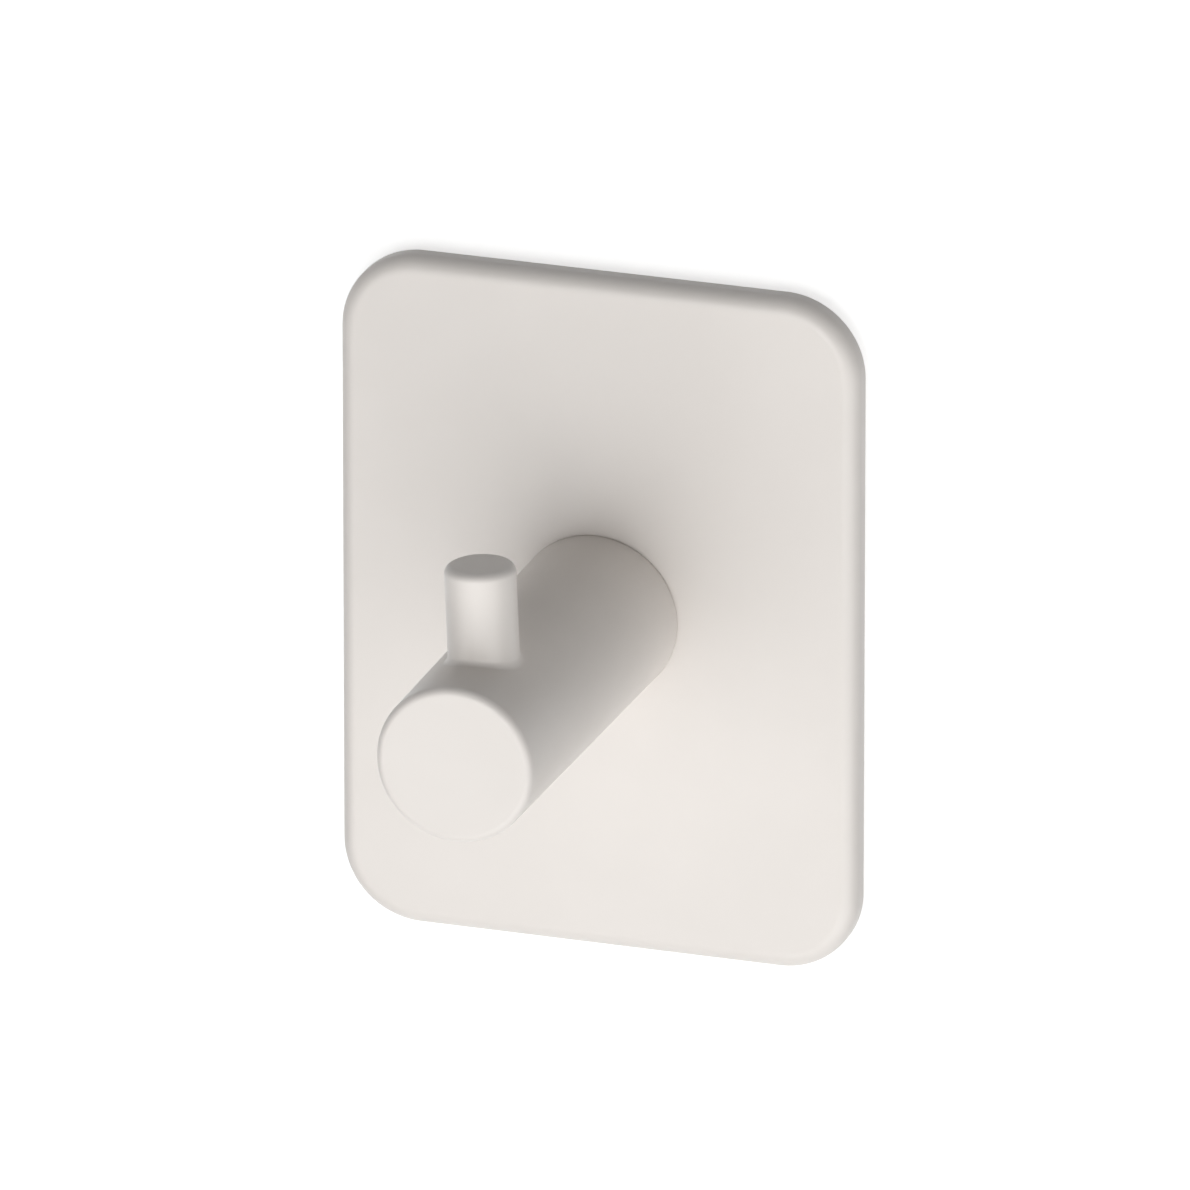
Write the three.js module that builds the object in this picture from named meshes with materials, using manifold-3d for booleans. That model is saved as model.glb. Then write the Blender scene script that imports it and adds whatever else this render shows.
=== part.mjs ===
// A small self-adhesive wall hook: a plate with rounded corners, a round peg clamped to it by one
// countersunk screw from behind, a short pin pressed upright into the peg, and a foam pad that sticks
// the plate to the wall. Millimetres, +Z up, the peg points along -Y, and the origin is the middle of
// the pad's face on the wall.

import * as THREE from "three";
import { mergeVertices } from "three/addons/utils/BufferGeometryUtils.js";
import Module from "manifold-3d";

const wasm = await Module();
wasm.setup();

// Plate
const PLATE_WIDTH = 38.2;
const PLATE_HEIGHT = 50;
const PLATE_THICKNESS = 2;
const PLATE_CORNER_RADIUS = 5.8;
const PLATE_EDGE_RADIUS = 1.2;

// Peg, centred on the plate: its diameter at the root, and at the free end, where it is a little thinner
const PEG_DIAMETER = 12;
const PEG_END_DIAMETER = 11.4;
const PEG_LENGTH = 31;
const PEG_EDGE_RADIUS = 0.6;
const PEG_BACK_CHAMFER = 0.25;
// One screw and no key hold the peg, so it sits this far off upright, clockwise seen from the back
const PEG_TURN_DEGREES = 2.3;

// Pin: it stands out of the peg's crown, and its seat is the depth of its buried end below the crown
const PIN_DIAMETER = 5;
const PIN_STANDS = 6.5;
const PIN_SEAT = 4.5;
const PIN_FROM_PEG_END = 7.25;
const PIN_EDGE_RADIUS = 0.6;
const PIN_FOOT_CHAMFER = 0.4;

// Screw: an M4 countersunk socket screw, its length measured over the head
const SCREW_LENGTH = 8;
const SCREW_HEAD_DIAMETER = 7.5;
const SCREW_HEAD_RIM = 0.1;
const SCREW_RECESS = 0.1;
const SCREW_TIP_CHAMFER = 0.5;
const THREAD_DIAMETER = 4;
const THREAD_PITCH = 0.7;
const THREAD_DEPTH = 0.43;
const SOCKET_ACROSS_FLATS = 2.5;
const SOCKET_DEPTH = 1.2;

// Tapped hole in the peg: its plain mouth, and how far its drilling goes past the screw's tip
const TAP_MOUTH = 0.3;
const TAP_RUNOUT = 2;
const DRILL_POINT_DEGREES = 118;

// Adhesive pad, set back from the plate's edge all round
const PAD_THICKNESS = 1;
const PAD_MARGIN = 2.6;

// Clearances, each measured on the radius, or along the axis at a hole's bottom
const PIN_FIT = 0.02;
const PIN_BOTTOM_GAP = 0.2;
const THREAD_FIT = 0.06;
const HEAD_FIT = 0.05;
const SHANK_FIT = 0.25;
// How far a cutter reaches past the face that it opens
const CUT_PAST = 1;

// Corners nearer to each other than this are one corner
const MERGE_DISTANCE = 1e-5;

// Fineness of round forms
const CORNER_STEPS = 10;
const EDGE_STEPS = 6;
const PEG_SIDES = 64;
const PIN_SIDES = 40;
const SCREW_SIDES = 24;
const RINGS_PER_PITCH = 6;

// Faces along Y, from the wall outwards
const plateBack = -PAD_THICKNESS;
const plateFront = plateBack - PLATE_THICKNESS;
const pegEnd = plateFront - PEG_LENGTH;
const pinAxis = pegEnd + PIN_FROM_PEG_END;
const headBack = plateBack - SCREW_RECESS;
const screwTip = headBack - SCREW_LENGTH;
const tapBottom = screwTip - TAP_RUNOUT;

const plateEdge = Math.min(PLATE_EDGE_RADIUS, PLATE_THICKNESS);
const pegRadius = PEG_DIAMETER / 2;
const pegEndRadius = PEG_END_DIAMETER / 2;
const pinRadius = PIN_DIAMETER / 2;
const headRadius = SCREW_HEAD_DIAMETER / 2;
const threadRadius = THREAD_DIAMETER / 2;
const threadRoot = threadRadius - THREAD_DEPTH;
// The peg's crown under the pin's axis
const pinCrown = pegEndRadius + (pegRadius - pegEndRadius) * (PIN_FROM_PEG_END / PEG_LENGTH);
const pinTop = pinCrown + PIN_STANDS;
const pinBottom = pinCrown - PIN_SEAT;

// A closed three.js geometry as a solid that can be joined and cut
function solid(geometry) {
  const bare = new THREE.BufferGeometry();
  bare.setAttribute("position", geometry.getAttribute("position").clone());
  bare.setIndex(geometry.getIndex());
  const merged = mergeVertices(bare, MERGE_DISTANCE);
  const corners = merged.getIndex().array;
  const triangles = [];
  for (let i = 0; i < corners.length; i += 3) {
    const [a, b, c] = corners.slice(i, i + 3);
    const hasArea = a !== b && b !== c && c !== a;
    if (hasArea) triangles.push(a, b, c);
  }
  return new wasm.Manifold(new wasm.Mesh({
    numProp: 3,
    vertProperties: new Float32Array(merged.getAttribute("position").array),
    triVerts: new Uint32Array(triangles),
  }));
}

// A finished solid as a named mesh with its finish
function piece(name, body, finish) {
  const { vertProperties, triVerts } = body.getMesh();
  const geometry = new THREE.BufferGeometry();
  geometry.setAttribute("position", new THREE.BufferAttribute(vertProperties, 3));
  geometry.setIndex(new THREE.BufferAttribute(triVerts, 1));
  const flat = geometry.toNonIndexed();
  flat.computeVertexNormals();
  const mesh = new THREE.Mesh(flat, new THREE.MeshStandardMaterial(finish));
  mesh.name = name;
  return mesh;
}

// Outline of a rectangle with round corners, centred on the origin
function roundedRectangle(width, height, radius) {
  const x = width / 2 - radius;
  const y = height / 2 - radius;
  const shape = new THREE.Shape();
  shape.absarc(x, y, radius, 0, Math.PI / 2);
  shape.absarc(-x, y, radius, Math.PI / 2, Math.PI);
  shape.absarc(-x, -y, radius, Math.PI, Math.PI * 1.5);
  shape.absarc(x, -y, radius, Math.PI * 1.5, Math.PI * 2);
  return shape;
}

// Points (radius, y) of a round edge from the flat end face to the side. Inward is the sign of the way
// along Y from the end face into the body.
function roundEdge(radius, end, edge, inward) {
  return Array.from({ length: EDGE_STEPS + 1 }, (_, i) => {
    const turn = (i / EDGE_STEPS) * (Math.PI / 2);
    return [radius - edge + edge * Math.sin(turn), end + inward * edge * (1 - Math.cos(turn))];
  });
}

// A body of revolution about Y from points (radius, y), listed from its lowest y to its highest
function turned(points, sides) {
  const profile = points.map(([r, y]) => new THREE.Vector2(r, y));
  return new THREE.LatheGeometry(profile, sides);
}

// Height of the thread's ridge, from 0 at the root to 1 at the crest, at a share of one pitch. Root and
// crest are flat for the given shares of half a pitch, as on a metric thread.
function ridge(share) {
  const rootFlat = 1 / 6;
  const crestFlat = 1 / 8;
  const halfPitches = 2 * Math.min(share, 1 - share);
  return THREE.MathUtils.clamp((halfPitches - rootFlat) / (1 - rootFlat - crestFlat), 0, 1);
}

// A threaded body about Y: rings of the given list of y, each at a radius worked out by radiusAt(angle, y)
function threadedBody(rings, radiusAt) {
  const points = [];
  const faces = [];
  for (const y of rings) {
    for (let i = 0; i < SCREW_SIDES; i += 1) {
      const angle = (i / SCREW_SIDES) * Math.PI * 2;
      const r = radiusAt(angle, y);
      points.push(r * Math.sin(angle), y, r * Math.cos(angle));
    }
  }
  const last = rings.length - 1;
  const topCentre = rings.length * SCREW_SIDES;
  const bottomCentre = topCentre + 1;
  points.push(0, rings[0], 0, 0, rings[last], 0);
  for (let i = 0; i < SCREW_SIDES; i += 1) {
    const next = (i + 1) % SCREW_SIDES;
    faces.push(topCentre, i, next);
    faces.push(bottomCentre, last * SCREW_SIDES + next, last * SCREW_SIDES + i);
    for (let k = 0; k < last; k += 1) {
      const upper = k * SCREW_SIDES;
      const lower = upper + SCREW_SIDES;
      faces.push(upper + i, lower + i, lower + next);
      faces.push(upper + i, lower + next, upper + next);
    }
  }
  const geometry = new THREE.BufferGeometry();
  geometry.setAttribute("position", new THREE.Float32BufferAttribute(points, 3));
  geometry.setIndex(faces);
  return solid(geometry);
}

// Radius of the screw's right-hand thread at an angle about Y and a height y
function threadAt(angle, y) {
  const turns = y / THREAD_PITCH - angle / (Math.PI * 2);
  return threadRoot + THREAD_DEPTH * ridge(turns - Math.floor(turns));
}

// Heights from one y down to another, with all the steps between on one lattice that screw and hole share
function threadRings(from, to) {
  const step = THREAD_PITCH / RINGS_PER_PITCH;
  const first = Math.ceil(from / step) - 1;
  const last = Math.floor(to / step) + 1;
  const between = Array.from({ length: first - last + 1 }, (_, i) => (first - i) * step);
  return [from, ...between, to];
}

const POWDER_COAT = { color: 0xe6e3de, roughness: 0.6, metalness: 0 };
const ZINC_PLATE = { color: 0xb9bcc0, roughness: 0.35, metalness: 1 };
const FOAM = { color: 0xd9d9d6, roughness: 0.9, metalness: 0 };

// Cone of the screw's head: its radius falls from the rim to the shank at 45 degrees
const coneTop = headBack - SCREW_HEAD_RIM;
const coneBottom = coneTop - (headRadius - threadRadius);

// The hole that the screw's head and shank pass through, reaching a given depth past plate and head
function screwHole(past) {
  const bore = threadRadius + SHANK_FIT;
  const sink = headRadius + HEAD_FIT;
  const sinkEnd = coneTop - (sink - bore);
  const bottom = Math.min(plateFront, sinkEnd) - past;
  return solid(turned([
    [0, bottom],
    [bore, bottom],
    [bore, sinkEnd],
    [sink, coneTop],
    [sink, plateBack + CUT_PAST],
    [0, plateBack + CUT_PAST],
  ], PEG_SIDES));
}

// The plate's outline is extruded with both edges rounded, and the back one is cut off flat.
function backPlate() {
  const outline = roundedRectangle(PLATE_WIDTH, PLATE_HEIGHT, PLATE_CORNER_RADIUS);
  const rounded = new THREE.ExtrudeGeometry(outline, {
    depth: PLATE_THICKNESS,
    bevelThickness: plateEdge,
    bevelSize: plateEdge,
    bevelOffset: -plateEdge,
    bevelSegments: EDGE_STEPS,
    curveSegments: CORNER_STEPS,
  });
  // Extruded along Z from the back, so it is turned to face -Y and set with its front face in place
  rounded.rotateX(Math.PI / 2);
  rounded.translate(0, plateBack + plateEdge, 0);
  const behind = new THREE.BoxGeometry(PLATE_WIDTH * 2, PLATE_THICKNESS * 4, PLATE_HEIGHT * 2);
  behind.translate(0, plateBack + PLATE_THICKNESS * 2, 0);
  return solid(rounded).subtract(solid(behind)).subtract(screwHole(CUT_PAST));
}

// The peg is turned from bar to a slight taper, tapped from behind and cross drilled for the pin.
function peg() {
  const bar = solid(turned([
    [0, pegEnd],
    ...roundEdge(pegEndRadius, pegEnd, PEG_EDGE_RADIUS, 1),
    [pegRadius, plateFront - PEG_BACK_CHAMFER],
    [pegRadius - PEG_BACK_CHAMFER, plateFront],
    [0, plateFront],
  ], PEG_SIDES));
  const tapped = threadedBody(
    threadRings(plateFront + CUT_PAST, screwTip - THREAD_PITCH),
    (angle, y) => threadAt(angle, y) + THREAD_FIT,
  );
  const drill = threadRoot + THREAD_FIT;
  const point = drill / Math.tan(THREE.MathUtils.degToRad(DRILL_POINT_DEGREES / 2));
  const pilot = solid(turned([
    [0, tapBottom - point],
    [drill, tapBottom],
    [drill, plateFront + CUT_PAST],
    [0, plateFront + CUT_PAST],
  ], SCREW_SIDES));
  const hole = pinRadius + PIN_FIT;
  const holeBottom = pinBottom - PIN_BOTTOM_GAP;
  const crossHole = onPinAxis([
    [0, holeBottom],
    [hole, holeBottom],
    [hole, pinCrown + CUT_PAST],
    [0, pinCrown + CUT_PAST],
  ]);
  return bar.subtract(tapped).subtract(pilot).subtract(screwHole(TAP_MOUTH)).subtract(crossHole);
}

// A body of revolution about the pin's upright axis from points (radius, height above the peg's axis)
function onPinAxis(points) {
  const upright = turned(points, PIN_SIDES);
  upright.rotateX(Math.PI / 2);
  upright.translate(0, pinAxis, 0);
  return solid(upright);
}

// The pin has a round top edge, and a chamfered foot that leads it into its hole.
function pin() {
  return onPinAxis([
    [0, pinBottom],
    [pinRadius - PIN_FOOT_CHAMFER, pinBottom],
    [pinRadius, pinBottom + PIN_FOOT_CHAMFER],
    ...roundEdge(pinRadius, pinTop, PIN_EDGE_RADIUS, -1).reverse(),
    [0, pinTop],
  ]);
}

// The screw is one threaded body with its head on top, and a hexagon socket cut into the head.
function fixingScrew() {
  const thread = threadRings(coneBottom, screwTip);
  const tipRadius = threadRadius - SCREW_TIP_CHAMFER;
  const body = threadedBody([headBack, coneTop, ...thread], (angle, y) => {
    if (y >= coneTop) return headRadius;
    if (y >= coneBottom) return threadRadius;
    return Math.min(threadAt(angle, y), tipRadius + (y - screwTip));
  });
  const socket = new THREE.CylinderGeometry(
    SOCKET_ACROSS_FLATS / Math.sqrt(3),
    SOCKET_ACROSS_FLATS / Math.sqrt(3),
    SOCKET_DEPTH + CUT_PAST,
    6,
  );
  socket.translate(0, headBack + (CUT_PAST - SOCKET_DEPTH) / 2, 0);
  return body.subtract(solid(socket));
}

// The pad is cut to the plate's outline, set back by its margin.
function adhesivePad() {
  const outline = roundedRectangle(
    PLATE_WIDTH - 2 * PAD_MARGIN,
    PLATE_HEIGHT - 2 * PAD_MARGIN,
    PLATE_CORNER_RADIUS - PAD_MARGIN,
  );
  const sheet = new THREE.ExtrudeGeometry(outline, {
    depth: PAD_THICKNESS,
    bevelEnabled: false,
    curveSegments: CORNER_STEPS,
  });
  sheet.rotateX(Math.PI / 2);
  return solid(sheet);
}

// Peg, pin and screw were tightened together, so they share the turn about the peg's axis.
const clamped = new THREE.Group();
clamped.rotation.y = -THREE.MathUtils.degToRad(PEG_TURN_DEGREES);
clamped.add(
  piece("peg", peg(), POWDER_COAT),
  piece("pin", pin(), POWDER_COAT),
  piece("fixing_screw", fixingScrew(), ZINC_PLATE),
);

const wallHook = new THREE.Group();
wallHook.add(
  piece("back_plate", backPlate(), POWDER_COAT),
  clamped,
  piece("adhesive_pad", adhesivePad(), FOAM),
);

export default wallHook;
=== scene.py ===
# %% [markdown]
# # A coated steel wall hook
#
# The object is a small hook that sticks to a wall: a plate with rounded corners, a round peg that stands
# out of its middle, and a short pin near the peg's end that keeps a loop from slipping off. All that
# shows from the room wears one skin of warm off-white powder coat, and a foam pad holds it to the wall.
#
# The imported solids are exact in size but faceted, so each visible piece gets a fine surface of its own
# here, worked out from a formula. Then come the finishes, the wall, the light and the camera. Lengths
# are metres in the model's own frame: the wall is the plane y = 0, the room lies towards -y, z is up.

import math

import bpy
import numpy as np
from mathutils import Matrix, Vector


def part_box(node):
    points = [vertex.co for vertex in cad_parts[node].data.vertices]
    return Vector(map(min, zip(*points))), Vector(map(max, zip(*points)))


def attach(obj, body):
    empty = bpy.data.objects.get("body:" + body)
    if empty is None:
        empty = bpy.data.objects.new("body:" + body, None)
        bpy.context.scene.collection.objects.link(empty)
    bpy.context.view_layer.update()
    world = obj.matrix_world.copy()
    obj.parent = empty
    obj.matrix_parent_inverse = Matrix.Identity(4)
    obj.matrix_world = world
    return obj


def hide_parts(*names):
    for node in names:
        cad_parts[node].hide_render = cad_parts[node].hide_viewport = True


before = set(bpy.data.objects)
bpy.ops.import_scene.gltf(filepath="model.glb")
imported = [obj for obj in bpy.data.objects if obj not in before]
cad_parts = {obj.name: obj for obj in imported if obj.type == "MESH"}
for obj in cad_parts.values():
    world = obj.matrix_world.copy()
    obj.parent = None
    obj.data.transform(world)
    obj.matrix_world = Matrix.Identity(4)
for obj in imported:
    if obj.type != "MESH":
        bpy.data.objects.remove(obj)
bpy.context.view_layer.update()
MM = 0.001

# %% [markdown]
# ## Surfaces from rings
#
# Every piece of this hook is a closed skin: a row of rings, each with the same number of points. Such a
# skin could be modelled with bmesh, one face at a time, but as a grid it is one array, and its faces
# follow from the grid's own numbering. A skin either closes on itself like a tyre, last ring to first,
# or ends in two poles, where a fan of triangles closes it. The volume inside is measured as the sum of
# the tetrahedra from the origin to each triangle, which also tells whether the faces look outwards.


# %% Make a skin
SHARP_ANGLE = math.radians(40)


def grid_faces(rows, sides, closed):
    """Quads between neighbouring rings, each from a point to the next in its ring and the ring after."""
    index = np.arange(rows * sides).reshape(rows, sides)
    here = index if closed else index[:-1]
    ahead = np.roll(index, -1, axis=0) if closed else index[1:]
    corners = [here, np.roll(here, -1, axis=1), np.roll(ahead, -1, axis=1), ahead]
    return np.stack(corners, axis=-1).reshape(-1, 4)


def fan_faces(ring, pole):
    """Triangles from each side of a ring to one pole."""
    return np.stack([np.roll(ring, -1), ring, np.full_like(ring, pole)], axis=-1)


def enclosed_volume(points, faces):
    """Sum over triangles of a . (b x c) / 6, each quad counted as two triangles."""
    def part(a, b, c):
        return np.einsum("ij,ij->i", points[a], np.cross(points[b], points[c])).sum() / 6
    total = 0.0
    for block in faces:
        for k in range(1, block.shape[1] - 1):
            total += part(block[:, 0], block[:, k], block[:, k + 1])
    return total


def skin(name, rings, poles=None):
    """A closed mesh object through rings[row, side], with fans to two poles, or closed like a tyre."""
    rows, sides = rings.shape[:2]
    points = rings.reshape(-1, 3)
    faces = [grid_faces(rows, sides, closed=poles is None)]
    if poles is not None:
        first = np.arange(sides)
        last = first + (rows - 1) * sides
        points = np.concatenate([points, poles])
        faces += [fan_faces(first, rows * sides), fan_faces(last, rows * sides + 1)[:, ::-1]]
    volume = enclosed_volume(points, faces)
    if volume < 0:
        faces = [block[:, ::-1] for block in faces]
    mesh = bpy.data.meshes.new(name)
    mesh.from_pydata(points.tolist(), [], [face for block in faces for face in block.tolist()])
    mesh.polygons.foreach_set("use_smooth", np.ones(len(mesh.polygons), dtype=bool))
    mesh.set_sharp_from_angle(angle=SHARP_ANGLE)
    piece = bpy.data.objects.new(name, mesh)
    bpy.context.scene.collection.objects.link(piece)
    print(f"{name}: {len(mesh.polygons)} faces, {abs(volume) / MM**3:.0f} cubic mm")
    return piece


# %% Note a value on every ring
def mark_rings(piece, attribute, values, pole_values=()):
    """Stores one number for each ring on all of its points, for a material to read as an attribute."""
    points = len(piece.data.vertices) - len(pole_values)
    on_points = np.repeat(values, points // len(values))
    layer = piece.data.attributes.new(attribute, "FLOAT", "POINT")
    layer.data.foreach_set("value", np.concatenate([on_points, pole_values]).astype(np.float32))


# %% [markdown]
# ## The plate
#
# The real plate is punched from 2 mm sheet, and its front edge is rounded over before it is coated. A
# Bevel modifier on a rounded box would give nearly that, but here the section is simply carried round
# the outline. A rounded rectangle is a smaller rectangle, its core, with a normal that turns at each
# corner: core + (corner radius - inset) * normal is the outline set in by any amount, so one list of
# insets and depths gives the face, the round edge, the side and the back. Towards the middle the rings
# blend into circles and go down the screw's countersunk hole, so the plate is a tyre with one hole.

# %% Outline of a rounded rectangle
QUARTER = np.pi / 2


def rounded_core(half_width, half_height, corner, corner_steps, side_steps):
    """Core points and outward normals once round, starting at the right side's top corner."""
    signs = np.array([[1, 1], [-1, 1], [-1, -1], [1, -1]])
    centres = signs * [half_width - corner, half_height - corner]
    turn = QUARTER * (np.arange(4)[:, None] + np.linspace(0, 1, corner_steps + 1))
    along = np.linspace(0, 1, side_steps + 1)[1:-1]
    corner_core = np.repeat(centres[:, None], corner_steps + 1, axis=1)
    side_core = centres[:, None] + along[:, None] * (np.roll(centres, -1, axis=0) - centres)[:, None]
    side_turn = np.repeat(turn[:, -1:], side_steps - 1, axis=1)
    core = np.concatenate([corner_core, side_core], axis=1).reshape(-1, 2)
    angle = np.concatenate([turn, side_turn], axis=1).ravel()
    return core, np.stack([np.cos(angle), np.sin(angle)], axis=-1)


def sheet_rings(core, normal, corner, section):
    """Rings of a sheet in the XZ plane, from rows of inset, blend, radius and depth: the outline set in
    by the inset, drawn by the blend's share towards a circle of the radius, at y = depth."""
    inset, blend, radius, depth = (column[:, None, None] for column in np.asarray(section).T)
    outer = core + corner * normal
    towards = outer / np.linalg.norm(outer, axis=1, keepdims=True)
    flat = (1 - blend) * (core + (corner - inset) * normal) + blend * radius * towards
    level = np.broadcast_to(depth, flat.shape[:2] + (1,))
    return np.concatenate([flat[..., :1], level, flat[..., 1:]], axis=-1)


# %% Sizes of the plate
plate_low, plate_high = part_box("back_plate")
plate_front = plate_low.y
plate_back = plate_high.y
PLATE_CORNER = 5.8 * MM
PLATE_EDGE = 1.2 * MM
PLATE_BACK_EDGE = 0.15 * MM
BORE_RADIUS = 2.25 * MM
SINK_RADIUS = 3.8 * MM
SINK_RIM = 0.2 * MM
FACE_INSET = 4.5 * MM
NEAR_EDGE = 0.08 * MM
EDGE_STEPS = 18
CORNER_STEPS = 28
SIDE_STEPS = 24
BLEND_RINGS = 6
print(f"plate {plate_high.x - plate_low.x:.4f} by {plate_high.z - plate_low.z:.4f} m,"
      f" front face at y = {plate_front:.4f}")


# %% Make the plate
def quarter(steps):
    """Sine and cosine along a quarter turn in equal steps."""
    angle = np.linspace(0, QUARTER, steps + 1)
    return np.sin(angle), np.cos(angle)


def rows(*columns):
    """Rows for a section from columns, each a list or one number for all."""
    return np.stack(np.broadcast_arrays(*map(np.atleast_1d, columns)), axis=-1)


def plate_section():
    """Once round the plate's section, from the hole's front rim over the front edge to the hole again.
    The last column is the coat's film: 1 on a flat, and 1 less the sine of twice the angle on a bend."""
    sine, cosine = quarter(EDGE_STEPS)
    thinned = 1 - 2 * sine * cosine
    cone_end = plate_back - SINK_RIM - (SINK_RADIUS - BORE_RADIUS)
    face_insets = [FACE_INSET, 2 * PLATE_EDGE, PLATE_EDGE + NEAR_EDGE]
    back_insets = [PLATE_BACK_EDGE + NEAR_EDGE, 2 * PLATE_EDGE, FACE_INSET]
    to_circle = np.linspace(1, 0, BLEND_RINGS)[:-1]
    return np.concatenate([
        rows(FACE_INSET, to_circle, BORE_RADIUS, plate_front, 1),
        rows(face_insets, 0, 0, plate_front, 1),
        rows(PLATE_EDGE * (1 - sine), 0, 0, plate_front + PLATE_EDGE * (1 - cosine), thinned),
        rows(PLATE_BACK_EDGE * (1 - cosine), 0, 0, plate_back - PLATE_BACK_EDGE * (1 - sine), thinned),
        rows(back_insets, 0, 0, plate_back, 1),
        rows(FACE_INSET, to_circle[::-1], SINK_RADIUS, plate_back, 1),
        rows(0, 1, [SINK_RADIUS, BORE_RADIUS], [plate_back - SINK_RIM, cone_end], 1),
    ])


core, normal = rounded_core(plate_high.x, plate_high.z, PLATE_CORNER, CORNER_STEPS, SIDE_STEPS)
section = plate_section()
coated_plate = skin("coated_plate", sheet_rings(core, normal, PLATE_CORNER, section[:, :4]))
mark_rings(coated_plate, "film", section[:, 4])

# %% [markdown]
# ## The peg
#
# The peg is a piece of 12 mm bar, turned to a slight taper with a rounded front edge and tapped from
# behind. Its back edge is broken, which leaves a fine dark groove where it stands on the plate. A
# Screw modifier could turn the profile about the axis, but as rings it is the same grid as before:
# each point of the profile becomes one ring.

# %% Sizes of the peg
PEG_EDGE = 0.6 * MM
PEG_END_RADIUS = 5.7 * MM
PEG_BACK_EDGE = 0.25 * MM
COAT_OVERLAP = 0.02 * MM
TAP_RADIUS = 2.05 * MM
TAP_DEPTH = 8.1 * MM
DRILL_POINT = 1.0 * MM
PEG_SIDES = 192
PEG_SIDE_RINGS = 24
PEG_FACE_SHARES = np.array([0.3, 0.7])
peg_low, peg_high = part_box("peg")
peg_radius = peg_high.x
peg_end = peg_low.y
peg_root = peg_high.y
print(f"peg {peg_root - peg_end:.4f} m long, {2 * peg_radius:.4f} m thick at its root")


# %% Turn a profile about the peg's axis
def turned(profile, sides):
    """Rings about the Y axis from rows of radius and y: each row is a circle in the XZ plane."""
    angle = np.linspace(0, 2 * np.pi, sides, endpoint=False)
    radius, level = (column[:, None] for column in profile.T)
    x = radius * np.sin(angle)
    z = radius * np.cos(angle)
    return np.stack([x, np.broadcast_to(level, x.shape), z], axis=-1)


def bar_radius(level):
    """The bar's radius at y = level: it grows evenly from the front edge's end to the root."""
    start = peg_end + PEG_EDGE
    share = (level - start) / (peg_root - start)
    return PEG_END_RADIUS + share * (peg_radius - PEG_END_RADIUS)


# %% Make the peg
def peg_profile():
    """From the front face over its round edge, along the side, over the back edge and up the tapped
    hole, as rows of radius, y and film. The film is thinner over both edges, as on the plate."""
    sine, cosine = quarter(EDGE_STEPS)
    thinned = 1 - 2 * sine * cosine
    face = PEG_END_RADIUS - PEG_EDGE
    side = np.linspace(peg_end + PEG_EDGE, peg_root - PEG_BACK_EDGE, PEG_SIDE_RINGS)[1:-1]
    foot = peg_root + COAT_OVERLAP
    return np.concatenate([
        rows([*PEG_FACE_SHARES * face, face - NEAR_EDGE], peg_end, 1),
        rows(face + PEG_EDGE * sine, peg_end + PEG_EDGE * (1 - cosine), thinned),
        rows(bar_radius(side), side, 1),
        rows(peg_radius - PEG_BACK_EDGE * (1 - cosine), peg_root - PEG_BACK_EDGE * (1 - sine), thinned),
        rows([peg_radius - PEG_BACK_EDGE, TAP_RADIUS], foot, 1),
        rows(TAP_RADIUS, peg_root - TAP_DEPTH, 1),
    ])


def on_axis(*levels):
    """Points on the Y axis."""
    return np.array([[0.0, y, 0.0] for y in levels])


profile = peg_profile()
peg_poles = on_axis(peg_end, peg_root - TAP_DEPTH - DRILL_POINT)
coated_peg = skin("coated_peg", turned(profile[:, :2], PEG_SIDES), peg_poles)
mark_rings(coated_peg, "film", profile[:, 2], [1, 1])

# %% [markdown]
# ## The pin
#
# The pin is a 5 mm dowel pressed upright into the peg. It has a softly rounded top, and the coat has
# run into a hollow round at its foot. This foot meets a round bar, so its lower rim is a saddle: at
# the distance x from the pin's middle plane a bar of radius R stands sqrt(R^2 - x^2) high. A Boolean
# could cut that saddle, but it would leave no clean rings for the hollow round. Peg and pin sit a
# little off upright, as one screw and no key hold the peg, so the pin is turned with it.

# %% Sizes of the pin
PEG_TURN = math.radians(2.3)
PIN_EDGE = 0.6 * MM
PIN_FLARE = 0.4 * MM
PIN_SIDES = 128
PIN_SIDE_RINGS = 12
pin_low, pin_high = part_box("pin")
pin_axis = (pin_low.y + pin_high.y) / 2
pin_radius = (pin_high.y - pin_low.y) / 2


def turn_about_peg(points, angle):
    """Points turned about the Y axis: the top goes towards -x for a positive angle."""
    x, y, z = np.moveaxis(points, -1, 0)
    cosine, sine = math.cos(angle), math.sin(angle)
    return np.stack([x * cosine - z * sine, y, x * sine + z * cosine], axis=-1)


def corners_of(node):
    """All corners of a CAD node as rows x, y, z."""
    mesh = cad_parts[node].data
    flat = np.empty(3 * len(mesh.vertices))
    mesh.vertices.foreach_get("co", flat)
    return flat.reshape(-1, 3)


pin_top = turn_about_peg(corners_of("pin"), -PEG_TURN)[:, 2].max()
print(f"pin {2 * pin_radius:.4f} m thick, its top {pin_top:.4f} m over the peg's axis")


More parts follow.
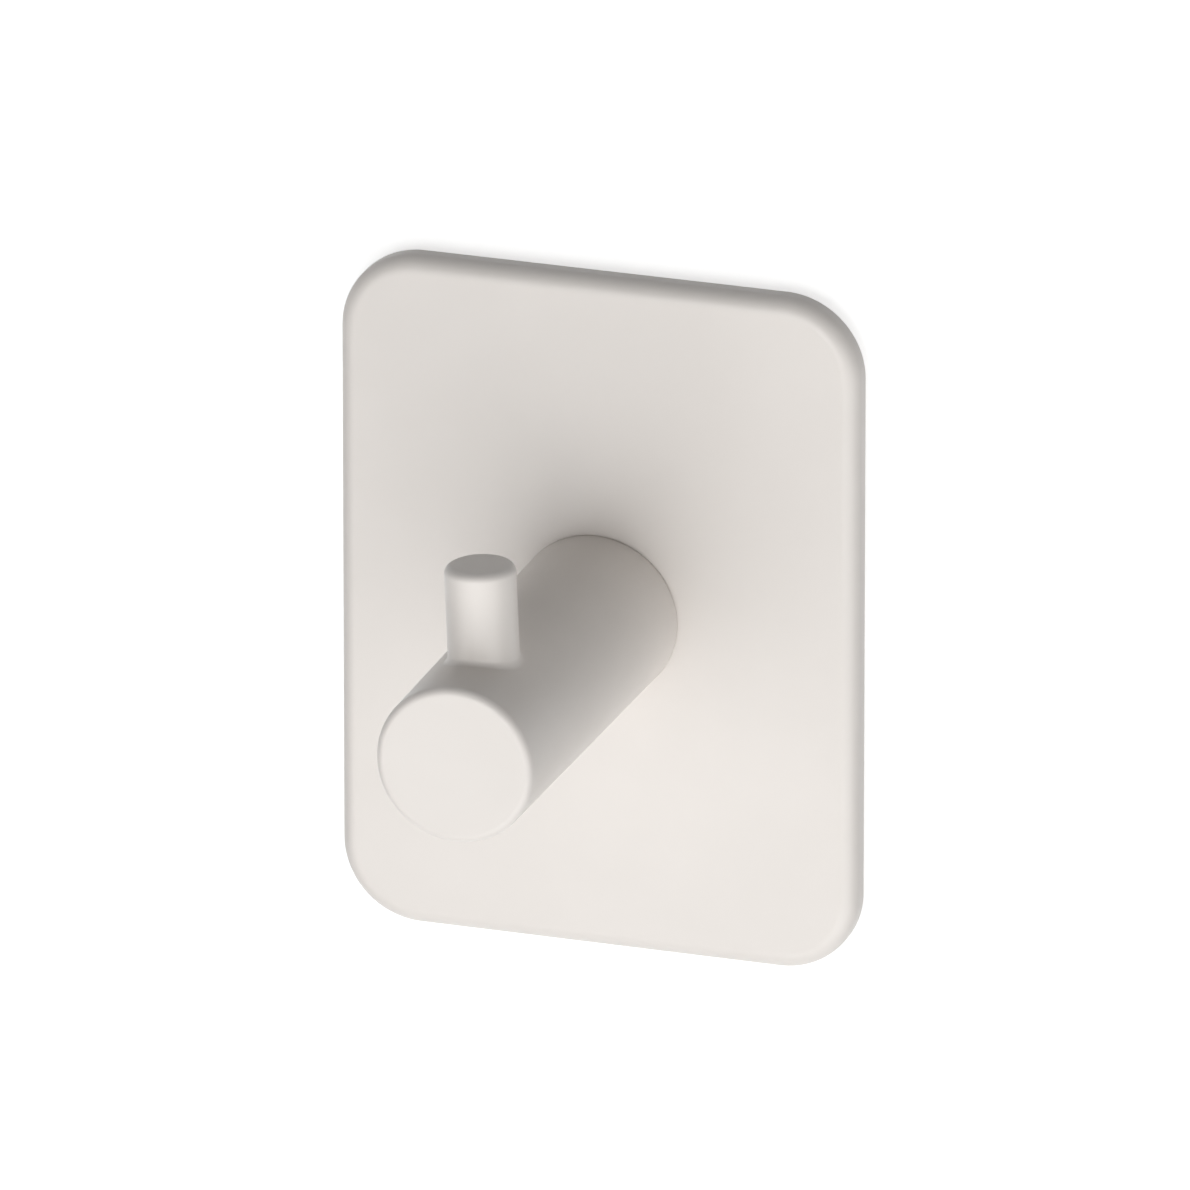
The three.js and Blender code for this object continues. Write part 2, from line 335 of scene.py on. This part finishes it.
# %% Make the pin
def pin_rings():
    """Rings about the pin's axis, and the film on each. Above the foot each is level; in the foot each
    point stands at the bar's surface under it plus the hollow round's height there."""
    angle = np.linspace(0, 2 * np.pi, PIN_SIDES, endpoint=False)
    sine, cosine = quarter(EDGE_STEPS)
    bend = 2 * sine * cosine
    face = pin_radius - PIN_EDGE

    def on_bar(radius):
        across = radius[:, None] * np.sin(angle)
        level = pin_axis + radius[:, None] * np.cos(angle)
        return np.sqrt(bar_radius(level) ** 2 - across**2)

    top_radius = np.concatenate([[0.5 * face, face - NEAR_EDGE], face + PIN_EDGE * sine])
    top_height = np.concatenate([[pin_top] * 2, pin_top - PIN_EDGE * (1 - cosine)])
    foot_radius = pin_radius + PIN_FLARE * (1 - cosine)
    foot_height = on_bar(foot_radius) + PIN_FLARE * (1 - sine)[:, None]
    share = np.linspace(0, 1, PIN_SIDE_RINGS)[1:-1, None]
    side_height = (1 - share) * (pin_top - PIN_EDGE) + share * foot_height[:1]
    under_radius = np.array([pin_radius + PIN_FLARE, 0.5 * pin_radius])
    under_height = on_bar(under_radius) - COAT_OVERLAP
    radius = np.concatenate([top_radius, np.full(len(share), pin_radius), foot_radius, under_radius])
    level_top = np.broadcast_to(top_height[:, None], (len(top_height), PIN_SIDES))
    height = np.concatenate([level_top, side_height, foot_height, under_height])
    film = np.concatenate([[1, 1], 1 - bend, np.ones(len(share)), 1 + bend, [1, 1]])
    x = radius[:, None] * np.sin(angle)
    y = pin_axis + radius[:, None] * np.cos(angle)
    return np.stack([x, y, height], axis=-1), film


rings, pin_film = pin_rings()
pin_poles = np.array([[0, pin_axis, pin_top], [0, pin_axis, bar_radius(pin_axis) - COAT_OVERLAP]])
coated_pin = skin("coated_pin", turn_about_peg(rings, PEG_TURN), turn_about_peg(pin_poles, PEG_TURN))
mark_rings(coated_pin, "film", pin_film, [1, 1])

# %% [markdown]
# ## The adhesive pad
#
# Behind the plate sits a pad of closed-cell foam, die cut to the plate's outline, with a film of
# adhesive on both faces. It shows from behind and, as a thin line, from the side. It is the same kind
# of sheet as the plate, with no hole. Its cut edge is not flat: squeezed between plate and wall the
# foam bellies out a little, and the cut has opened cells, so each point of the edge moves by a small
# seeded random amount. Cloth or soft-body simulation would find nothing to move in so thin a pad.

# %% Sizes of the pad
PAD_CORNER = 3.2 * MM
PAD_FILM = 0.06 * MM
PAD_SET_IN = 0.12 * MM
PAD_BELLY = 0.08 * MM
PAD_ROUGH = 0.03 * MM
PAD_FACE_INSET = 0.8 * PAD_CORNER
PAD_EDGE_RINGS = 12
PAD_FACE_RINGS = 6
PAD_NEAREST_MIDDLE = 0.9
PAD_FILM_BEND = 0.3 * PAD_FILM
PAD_CORNER_STEPS = 24
PAD_SIDE_STEPS = 120
PAD_SEED = 7
pad_low, pad_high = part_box("adhesive_pad")
print(f"pad {pad_high.x - pad_low.x:.4f} by {pad_high.z - pad_low.z:.4f} m")


# %% Make the pad
def pad_section():
    """From the middle of the wall face over the cut edge to the middle of the plate face. The cut edge
    bellies as a parabola. The last column is 1 on the cut edge and 0 on the film."""
    share = np.linspace(0, 1, PAD_EDGE_RINGS)
    wall, plate = pad_high.y, pad_low.y
    edge_depth = wall - PAD_FILM + share * (plate - wall + 2 * PAD_FILM)
    edge_inset = PAD_SET_IN - PAD_BELLY * 4 * share * (1 - share)
    blend = np.linspace(PAD_NEAREST_MIDDLE, 0, PAD_FACE_RINGS)
    film_insets = np.array([PAD_SET_IN + NEAR_EDGE, PAD_SET_IN])
    return np.concatenate([
        rows(PAD_FACE_INSET, blend, 0, wall, 0),
        rows(film_insets, 0, 0, [wall, wall - PAD_FILM_BEND], 0),
        rows(edge_inset, 0, 0, edge_depth, 1),
        rows(film_insets[::-1], 0, 0, [plate + PAD_FILM_BEND, plate], 0),
        rows(PAD_FACE_INSET, blend[::-1], 0, plate, 0),
    ])


def pad_rings():
    """The pad's rings, with the cut edge pushed in at random, and which of them are the cut edge."""
    core, normal = rounded_core(pad_high.x, pad_high.z, PAD_CORNER, PAD_CORNER_STEPS, PAD_SIDE_STEPS)
    section = pad_section()
    edge = section[:, 4]
    rings = sheet_rings(core, normal, PAD_CORNER, section[:, :4])
    rough = np.random.default_rng(PAD_SEED).uniform(-1, 0, rings.shape[:2]) * PAD_ROUGH
    push = (rough * edge[:, None])[..., None] * normal
    rings[..., 0] += push[..., 0]
    rings[..., 2] += push[..., 1]
    return rings, edge


rings, pad_edge = pad_rings()
foam_pad = skin("foam_pad", rings, on_axis(pad_high.y, pad_low.y))
mark_rings(foam_pad, "cut_edge", pad_edge, [0, 0])

# %% [markdown]
# ## One body
#
# Nothing on the hook moves, so the frame has one body, an empty that every surface is parented to.
# Each surface hides the solid it stands for and takes its place; the table also lists the finish it
# wears, which is only printed here.

# %% Everything rides on the one body
for piece, node, slot in [
    (coated_plate, "back_plate", "powder_coat"),
    (coated_peg, "peg", "powder_coat"),
    (coated_pin, "pin", "powder_coat"),
    (foam_pad, "adhesive_pad", "foam_adhesive"),
]:
    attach(piece, "root")
    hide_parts(node)
    print(piece.name, "stands for", node, "in", slot)

# %% [markdown]
# ## Finishes
#
# Nothing on this hook has a drawn pattern. What tells its finishes apart is how the light breaks on
# them: the coat's faint waves, the foam's cells, the plating's fine grain. An image texture would do,
# but it has to be unwrapped and is only as sharp as its pixels. Noise on Object coordinates is in
# metres, so a wave of half a millimetre is half a millimetre on every piece. All three finishes need
# the same pair of patterns, a wide one and a fine one, so a node group with named sockets holds them,
# and each material places that group with sizes of its own.


# %% Nodes in few words
def new_material(name):
    """A material with its nodes and links, which start as one Principled shader."""
    material = bpy.data.materials.new(name)
    material.use_nodes = True
    return material, material.node_tree.nodes, material.node_tree.links


def add_node(nodes, kind, **inputs):
    """A node with the named inputs set."""
    node = nodes.new(kind)
    for name, value in inputs.items():
        node.inputs[name.replace("_", " ")].default_value = value
    return node


def operate(tree, operation, *terms):
    """A Math node's output for numbers or other nodes' outputs."""
    node = tree.nodes.new("ShaderNodeMath")
    node.operation = operation
    for socket, term in zip(node.inputs, terms):
        if isinstance(term, (int, float)):
            socket.default_value = term
        else:
            tree.links.new(term, socket)
    return node.outputs[0]


# %% Draw out noise and blend colours
NOISE_LOW = 0.3
NOISE_HIGH = 0.7


def spread(tree, source, low, high):
    """A noise output, which keeps mostly between two values about 0.5, drawn out from low to high."""
    node = add_node(tree.nodes, "ShaderNodeMapRange", From_Min=NOISE_LOW, From_Max=NOISE_HIGH)
    node.inputs["To Min"].default_value = low
    node.inputs["To Max"].default_value = high
    tree.links.new(source, node.inputs["Value"])
    return node.outputs["Result"]


def blend_colours(tree, share, first, second):
    """A colour from the first to the second by a share from 0 to 1."""
    node = tree.nodes.new("ShaderNodeMix")
    node.data_type = "RGBA"
    colours = [socket for socket in node.inputs if socket.type == "RGBA"]
    for socket, colour in zip(colours, (first, second)):
        if isinstance(colour, tuple):
            socket.default_value = colour
        else:
            tree.links.new(colour, socket)
    tree.links.new(share, node.inputs["Factor"])
    return next(socket for socket in node.outputs if socket.type == "RGBA")


# %% The shared pair of patterns
def surface_grain_group():
    """Wave and Grain: two noise patterns around 0.5 on Object coordinates, with sizes given in metres."""
    group = bpy.data.node_groups.new("surface_grain", "ShaderNodeTree")
    given = group.nodes.new("NodeGroupInput")
    result = group.nodes.new("NodeGroupOutput")
    place = group.nodes.new("ShaderNodeTexCoord")
    for name in ("Wave", "Grain"):
        group.interface.new_socket(name + " Size", in_out="INPUT", socket_type="NodeSocketFloat")
        group.interface.new_socket(name, in_out="OUTPUT", socket_type="NodeSocketFloat")
        noise = add_node(group.nodes, "ShaderNodeTexNoise", Detail=2.0, Roughness=0.5)
        scale = operate(group, "DIVIDE", 1.0, given.outputs[name + " Size"])
        group.links.new(scale, noise.inputs["Scale"])
        group.links.new(place.outputs["Object"], noise.inputs["Vector"])
        group.links.new(noise.outputs["Fac"], result.inputs[name])
    return group


surface_grain = surface_grain_group()
print("surface_grain gives", [item.name for item in surface_grain.interface.items_tree])


# %% Use them in a material
def place_grain(nodes, wave_size, grain_size):
    """The group in a material: its two outputs, at the sizes given."""
    node = nodes.new("ShaderNodeGroup")
    node.node_tree = surface_grain
    node.inputs["Wave Size"].default_value = wave_size
    node.inputs["Grain Size"].default_value = grain_size
    return node.outputs["Wave"], node.outputs["Grain"]


def relief(tree, height, distance):
    """Bump from a height of 0 to 1, where 1 stands for the distance, into the shader's Normal."""
    bump = add_node(tree.nodes, "ShaderNodeBump", Strength=1.0, Distance=distance)
    tree.links.new(height, bump.inputs["Height"])
    tree.links.new(bump.outputs["Normal"], tree.nodes["Principled BSDF"].inputs["Normal"])


# %% [markdown]
# ## Powder coat
#
# The coat is a dry powder that melts in an oven. It flows nearly level, but keeps low waves under a
# millimetre across and a few thousandths of a millimetre high, with a finer grain on top: a satin
# surface with no mirror in it. The film is thin where it drew back over an edge and thick where it ran
# into a corner, so the rings carry a film value: a thin film is a shade darker and duller. The colour
# itself drifts by a percent or two over a few millimetres, as any baked finish does.

# %% Mix the powder coat
COAT_COLOUR = (0.835, 0.792, 0.752, 1)
COAT_DRIFT = (0.818, 0.776, 0.735, 1)
COAT_THIN = (0.79, 0.752, 0.716, 1)
COAT_SHEEN = (0.31, 0.36)
COAT_THIN_SHARE = 0.6
COAT_THIN_DULLING = 0.05
DRIFT_SIZE = 9 * MM
SHEEN_SIZE = 2.2 * MM
WAVE_SIZE = 0.7 * MM
GRAIN_SIZE = 0.14 * MM
GRAIN_SHARE = 0.15
COAT_RELIEF = 0.0024 * MM


def powder_coat():
    """Colour drifts with broad noise and darkens where the film is thin; waves and grain make relief."""
    material, nodes, links = new_material("powder_coat")
    tree = material.node_tree
    shader = nodes["Principled BSDF"]
    film = add_node(nodes, "ShaderNodeAttribute")
    film.attribute_name = "film"
    missing = operate(tree, "SUBTRACT", 1.0, film.outputs["Fac"])
    thin = operate(tree, "MAXIMUM", operate(tree, "MULTIPLY", missing, COAT_THIN_SHARE), 0.0)
    drift, patches = place_grain(nodes, DRIFT_SIZE, SHEEN_SIZE)
    wave, grain = place_grain(nodes, WAVE_SIZE, GRAIN_SIZE)
    drifted = blend_colours(tree, spread(tree, drift, 0.0, 1.0), COAT_COLOUR, COAT_DRIFT)
    links.new(blend_colours(tree, thin, drifted, COAT_THIN), shader.inputs["Base Color"])
    dulling = operate(tree, "MULTIPLY", thin, COAT_THIN_DULLING)
    sheen = operate(tree, "ADD", spread(tree, patches, *COAT_SHEEN), dulling)
    links.new(sheen, shader.inputs["Roughness"])
    waves = operate(tree, "MULTIPLY", wave, 1 - GRAIN_SHARE)
    relief(tree, operate(tree, "MULTIPLY_ADD", grain, GRAIN_SHARE, waves), COAT_RELIEF)
    print(material.name, "has", len(nodes), "nodes")
    return material


coat = powder_coat()
for piece in (coated_plate, coated_peg, coated_pin):
    piece.data.materials.append(coat)

# %% [markdown]
# ## Foam and adhesive
#
# The pad's two faces are a smooth film of adhesive, slightly glossy and a little blotchy where it has
# wetted the surface. Its cut edge is bare foam: round closed cells about a seventh of a millimetre
# across with thin walls. Voronoi cells make such a pattern: the distance to the nearest cell's middle
# is a hollow for every cell. Each hollow is pressed in as relief and also painted darker towards its
# middle, which is painted shade. The ring attribute cut_edge chooses between the two.

# %% Mix the foam
FOAM_WALL = (0.80, 0.80, 0.78, 1)
# painted shade deep in each opened cell of the foam, not a colour of the foam itself
FOAM_CELL_SHADE = (0.58, 0.58, 0.56, 1)
FILM_CLEAR = (0.76, 0.77, 0.76, 1)
FILM_WETTED = (0.70, 0.71, 0.70, 1)
CELL_SIZE = 0.15 * MM
CELL_DEPTH = 0.05 * MM
BLOTCH_SIZE = 3.5 * MM
FILM_GRAIN_SIZE = 0.4 * MM
FILM_GRAIN_SHARE = 0.06
FILM_ROUGHNESS = (0.31, 0.44)
FOAM_ROUGHNESS = 0.8


def adhesive_foam():
    """Film on the faces and Voronoi cells on the cut edge, mixed by the cut_edge attribute; each cell's
    hollow gets painted shade.
    """
    material, nodes, links = new_material("adhesive_foam")
    tree = material.node_tree
    shader = nodes["Principled BSDF"]
    edge = add_node(nodes, "ShaderNodeAttribute")
    edge.attribute_name = "cut_edge"
    cut = edge.outputs["Fac"]
    place = nodes.new("ShaderNodeTexCoord")
    cells = add_node(nodes, "ShaderNodeTexVoronoi", Scale=1 / CELL_SIZE)
    links.new(place.outputs["Object"], cells.inputs["Vector"])
    hollow = cells.outputs["Distance"]
    blotch, grain = place_grain(nodes, BLOTCH_SIZE, FILM_GRAIN_SIZE)
    film = blend_colours(tree, spread(tree, blotch, 0.0, 1.0), FILM_CLEAR, FILM_WETTED)
    # each cell's hollow is painted darker towards its middle: painted shade
    foam = blend_colours(tree, hollow, FOAM_CELL_SHADE, FOAM_WALL)
    links.new(blend_colours(tree, cut, film, foam), shader.inputs["Base Color"])
    gloss = spread(tree, blotch, *FILM_ROUGHNESS)
    rougher = operate(tree, "MULTIPLY", cut, operate(tree, "SUBTRACT", FOAM_ROUGHNESS, gloss))
    links.new(operate(tree, "ADD", gloss, rougher), shader.inputs["Roughness"])
    cell_height = operate(tree, "MULTIPLY", cut, hollow)
    relief(tree, operate(tree, "MULTIPLY_ADD", grain, FILM_GRAIN_SHARE, cell_height), CELL_DEPTH)
    print(material.name, "has", len(nodes), "nodes")
    return material


foam_pad.data.materials.append(adhesive_foam())

# %% [markdown]
# ## Zinc
#
# The screw that holds the peg sits under the pad, and its solid is fine enough to be kept as it is. It
# is steel with bright zinc on it: a metal, so Metallic is 1 and the colour is that of its reflections.
# Zinc grows in fine crystals, which gives the gloss a grain, and its clear chromate drifts a little
# between blue and straw.

# %% Plate the screw
ZINC_BLUE = (0.70, 0.73, 0.77, 1)
ZINC_STRAW = (0.77, 0.75, 0.70, 1)
ZINC_ROUGHNESS = (0.30, 0.42)
TINT_SIZE = 2.5 * MM
CRYSTAL_SIZE = 0.09 * MM
CRYSTAL_RELIEF = 0.002 * MM


def zinc_plate():
    """A metal whose tint drifts between two colours and whose gloss follows a fine grain."""
    material, nodes, links = new_material("zinc_plate")
    tree = material.node_tree
    shader = nodes["Principled BSDF"]
    shader.inputs["Metallic"].default_value = 1.0
    tint, grain = place_grain(nodes, TINT_SIZE, CRYSTAL_SIZE)
    chromate = blend_colours(tree, spread(tree, tint, 0.0, 1.0), ZINC_BLUE, ZINC_STRAW)
    links.new(chromate, shader.inputs["Base Color"])
    links.new(spread(tree, grain, *ZINC_ROUGHNESS), shader.inputs["Roughness"])
    relief(tree, grain, CRYSTAL_RELIEF)
    print(material.name, "has", len(nodes), "nodes")
    return material


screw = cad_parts["fixing_screw"]
screw.data.materials.clear()
screw.data.materials.append(zinc_plate())

# %% [markdown]
# ## Wall and floor
#
# The hook belongs on a wall, so the scene's pale sheet stands upright behind it, and a pale floor lies
# well below. Both are white to the camera, and keep the hook's soft shadow: a glow makes most of the
# white, and the light that falls on the sheet makes the rest. To light that bounces they are plain pale
# paint. The wall is clear from behind, so the back can be looked at, and open behind the plate, so the
# back can be lit. A lip that casts no shadow hides that opening from the room. A shadow catcher would
# keep the shadow too, but it is meant for pictures that are laid over others.

# %% Sheets of the stage
WALL_REACH = 0.8
WALL_BEHIND = 0.05 * MM
WALL_OPENING_INSET = 0.6 * MM
WALL_LIP_INSET = 2.2 * MM
WALL_STEPS = 8
FLOOR_LEVEL = -0.8


def stage_sheet(name, points, faces):
    """A sheet of the stage: a mesh that isn't part of the hook."""
    mesh = bpy.data.meshes.new(name)
    mesh.from_pydata(points.reshape(-1, 3).tolist(), [], faces.tolist())
    sheet = bpy.data.objects.new(name, mesh)
    bpy.context.scene.collection.objects.link(sheet)
    print(name, "faces", [round(x) for x in mesh.polygons[0].normal])
    return sheet


def wall_sheet(name, inner, outer):
    """The wall between two outlines in the XZ plane, facing the room."""
    flat = np.stack([inner, outer])
    level = np.full(flat.shape[:2] + (1,), WALL_BEHIND)
    points = np.concatenate([flat[..., :1], level, flat[..., 1:]], axis=-1)
    return stage_sheet(name, points, grid_faces(2, len(inner), closed=False)[:, ::-1])


# %% Shape the wall and the floor
def make_wall():
    """A wide sheet, open behind the plate, and a lip in the opening, which lets light through."""
    core, normal = rounded_core(plate_high.x, plate_high.z, PLATE_CORNER, WALL_STEPS, WALL_STEPS)
    edge = core + (PLATE_CORNER - WALL_OPENING_INSET) * normal
    rim = core + (PLATE_CORNER - WALL_LIP_INSET) * normal
    far = edge * WALL_REACH / np.abs(edge).max(axis=1, keepdims=True)
    lip = wall_sheet("wall_lip", rim, edge)
    lip.visible_shadow = False
    return wall_sheet("wall", edge, far), lip


def make_floor():
    """A square of the room's floor in front of the wall, facing up."""
    corners = np.array([[-1, -2, 0], [1, -2, 0], [1, 0, 0], [-1, 0, 0]]) * WALL_REACH
    return stage_sheet("floor", corners + [0, 0, FLOOR_LEVEL], np.arange(4)[None])


# %% Tell what is seen from what only bounces
def seen_rays(tree):
    """1 for what the camera sees, straight, mirrored or through glass, and 0 for bounced light."""
    path = tree.nodes.new("ShaderNodeLightPath")
    seen = operate(tree, "MAXIMUM", path.outputs["Is Camera Ray"], path.outputs["Is Glossy Ray"])
    return operate(tree, "MAXIMUM", seen, path.outputs["Is Transmission Ray"])


# %% Paint them
STAGE_PAINT = (0.5, 0.5, 0.5, 1)
SHADOW_PAINT = (0.6, 0.6, 0.6, 1)
STAGE_GLOW = 0.66


def stage_paint():
    """White with the hook's shadow where it is seen, pale paint to bounced light, clear from behind."""
    material, nodes, links = new_material("stage_paint")
    nodes.remove(nodes["Principled BSDF"])
    paint = add_node(nodes, "ShaderNodeBsdfDiffuse", Color=STAGE_PAINT)
    shadowed = add_node(nodes, "ShaderNodeBsdfDiffuse", Color=SHADOW_PAINT)
    glow = add_node(nodes, "ShaderNodeEmission", Color=(1, 1, 1, 1), Strength=STAGE_GLOW)
    clear = nodes.new("ShaderNodeBsdfTransparent")
    geometry = nodes.new("ShaderNodeNewGeometry")
    white = nodes.new("ShaderNodeAddShader")
    front = nodes.new("ShaderNodeMixShader")
    sides = nodes.new("ShaderNodeMixShader")
    for source, socket in [
        (shadowed.outputs[0], white.inputs[0]),
        (glow.outputs[0], white.inputs[1]),
        (seen_rays(material.node_tree), front.inputs[0]),
        (paint.outputs[0], front.inputs[1]),
        (white.outputs[0], front.inputs[2]),
        (geometry.outputs["Backfacing"], sides.inputs[0]),
        (front.outputs[0], sides.inputs[1]),
        (clear.outputs[0], sides.inputs[2]),
        (sides.outputs[0], nodes["Material Output"].inputs["Surface"]),
    ]:
        links.new(source, socket)
    return material


pale = stage_paint()
for sheet in (*make_wall(), make_floor()):
    sheet.data.materials.append(pale)

# %% [markdown]
# ## Light
#
# The hook is lit as in a white tent: three tall panels side by side in front, a low one as if from a
# pale table, and a small lamp straight ahead. All but a little comes from below the peg's own height,
# so the peg's top stays in half shade and its soft shadow falls upwards. An area lamp has a size, so
# its shadows are soft, where a point or a sun would draw hard ones, and its watts are spread over that
# size. The world gives bounced light next to nothing, so these lamps alone model the form, but what
# looks past the stage sees white. A last lamp stands behind the wall, for views from there.

# %% Light the room
AMBIENT = 0.02


def room_light():
    """A world that is white where it is seen and nearly dark to bounced light."""
    world = bpy.data.worlds.new("room")
    bpy.context.scene.world = world
    world.use_nodes = True
    nodes, links = world.node_tree.nodes, world.node_tree.links
    ambient = nodes["Background"]
    ambient.inputs["Color"].default_value = (1, 1, 1, 1)
    ambient.inputs["Strength"].default_value = AMBIENT
    white = add_node(nodes, "ShaderNodeBackground", Color=(1, 1, 1, 1), Strength=1.0)
    mix = nodes.new("ShaderNodeMixShader")
    links.new(seen_rays(world.node_tree), mix.inputs[0])
    links.new(ambient.outputs[0], mix.inputs[1])
    links.new(white.outputs[0], mix.inputs[2])
    links.new(mix.outputs[0], nodes["World Output"].inputs["Surface"])
    print("the world", world.name, "gives bounced light", AMBIENT)


room_light()

# %% Hang the lamps
# Name, azimuth and elevation in degrees, distance, width and height in metres, and watts
LAMPS = [
    ("straight_lamp", 0, 4, 0.5, 0.2, 0.2, 0.43),
    ("left_panel", -34, -11, 1.0, 0.57, 0.89, 1.85),
    ("middle_panel", 1, -11, 1.0, 0.69, 0.89, 2.65),
    ("right_panel", 45, -12, 1.0, 0.95, 0.89, 3.35),
    ("low_panel", 19, -42, 0.6, 0.67, 0.17, 0.95),
    ("back_panel", 180, 15, 0.6, 0.7, 0.7, 3.8),
]


def direction(azimuth, elevation):
    """A unit vector from the hook. Azimuth 0 is straight in front, positive to the right, in degrees."""
    a, e = math.radians(azimuth), math.radians(elevation)
    return Vector((math.sin(a) * math.cos(e), -math.cos(a) * math.cos(e), math.sin(e)))


def area_lamp(name, azimuth, elevation, distance, width, height, watts):
    """A flat lamp aimed at the hook from the direction and distance given."""
    away = direction(azimuth, elevation)
    data = bpy.data.lights.new(name, "AREA")
    data.shape = "RECTANGLE"
    data.size = width
    data.size_y = height
    data.energy = watts
    lamp = bpy.data.objects.new(name, data)
    bpy.context.scene.collection.objects.link(lamp)
    lamp.location = away * distance
    lamp.rotation_mode = "QUATERNION"
    lamp.rotation_quaternion = away.to_track_quat("Z", "Y")
    print(name, "at", [round(x, 2) for x in lamp.location], "gives", watts, "W")


for lamp in LAMPS:
    area_lamp(*lamp)

# %% [markdown]
# ## Camera
#
# The picture was taken from a little above and to the right, from far off with a long lens: opposite
# edges of the plate stay parallel. These values come from a fit of the plate's and the peg's outlines,
# and they place the camera by direction and distance from a target, as a tripod would. A Track To
# constraint would aim it too, but nothing moves here, so the turn is set once.

# %% Place the camera
CAMERA_AZIMUTH = 18.60
CAMERA_ELEVATION = 20.69
CAMERA_DISTANCE = 1.714
CAMERA_TARGET = Vector((-1.136, 0, 0.315)) * MM
CAMERA_SENSOR = 36
CAMERA_LENS = 740.15


def make_camera():
    """A camera at its distance from the target, turned so that its own Z axis points away from it."""
    back = direction(CAMERA_AZIMUTH, CAMERA_ELEVATION)
    data = bpy.data.cameras.new("camera")
    data.sensor_width = CAMERA_SENSOR
    data.lens = CAMERA_LENS
    camera = bpy.data.objects.new("camera", data)
    bpy.context.scene.collection.objects.link(camera)
    camera.location = CAMERA_TARGET + back * CAMERA_DISTANCE
    camera.rotation_mode = "QUATERNION"
    camera.rotation_quaternion = back.to_track_quat("Z", "Y")
    bpy.context.scene.camera = camera
    print("camera at", [round(x, 3) for x in camera.location])


make_camera()
bpy.context.scene.view_settings.view_transform = "Standard"
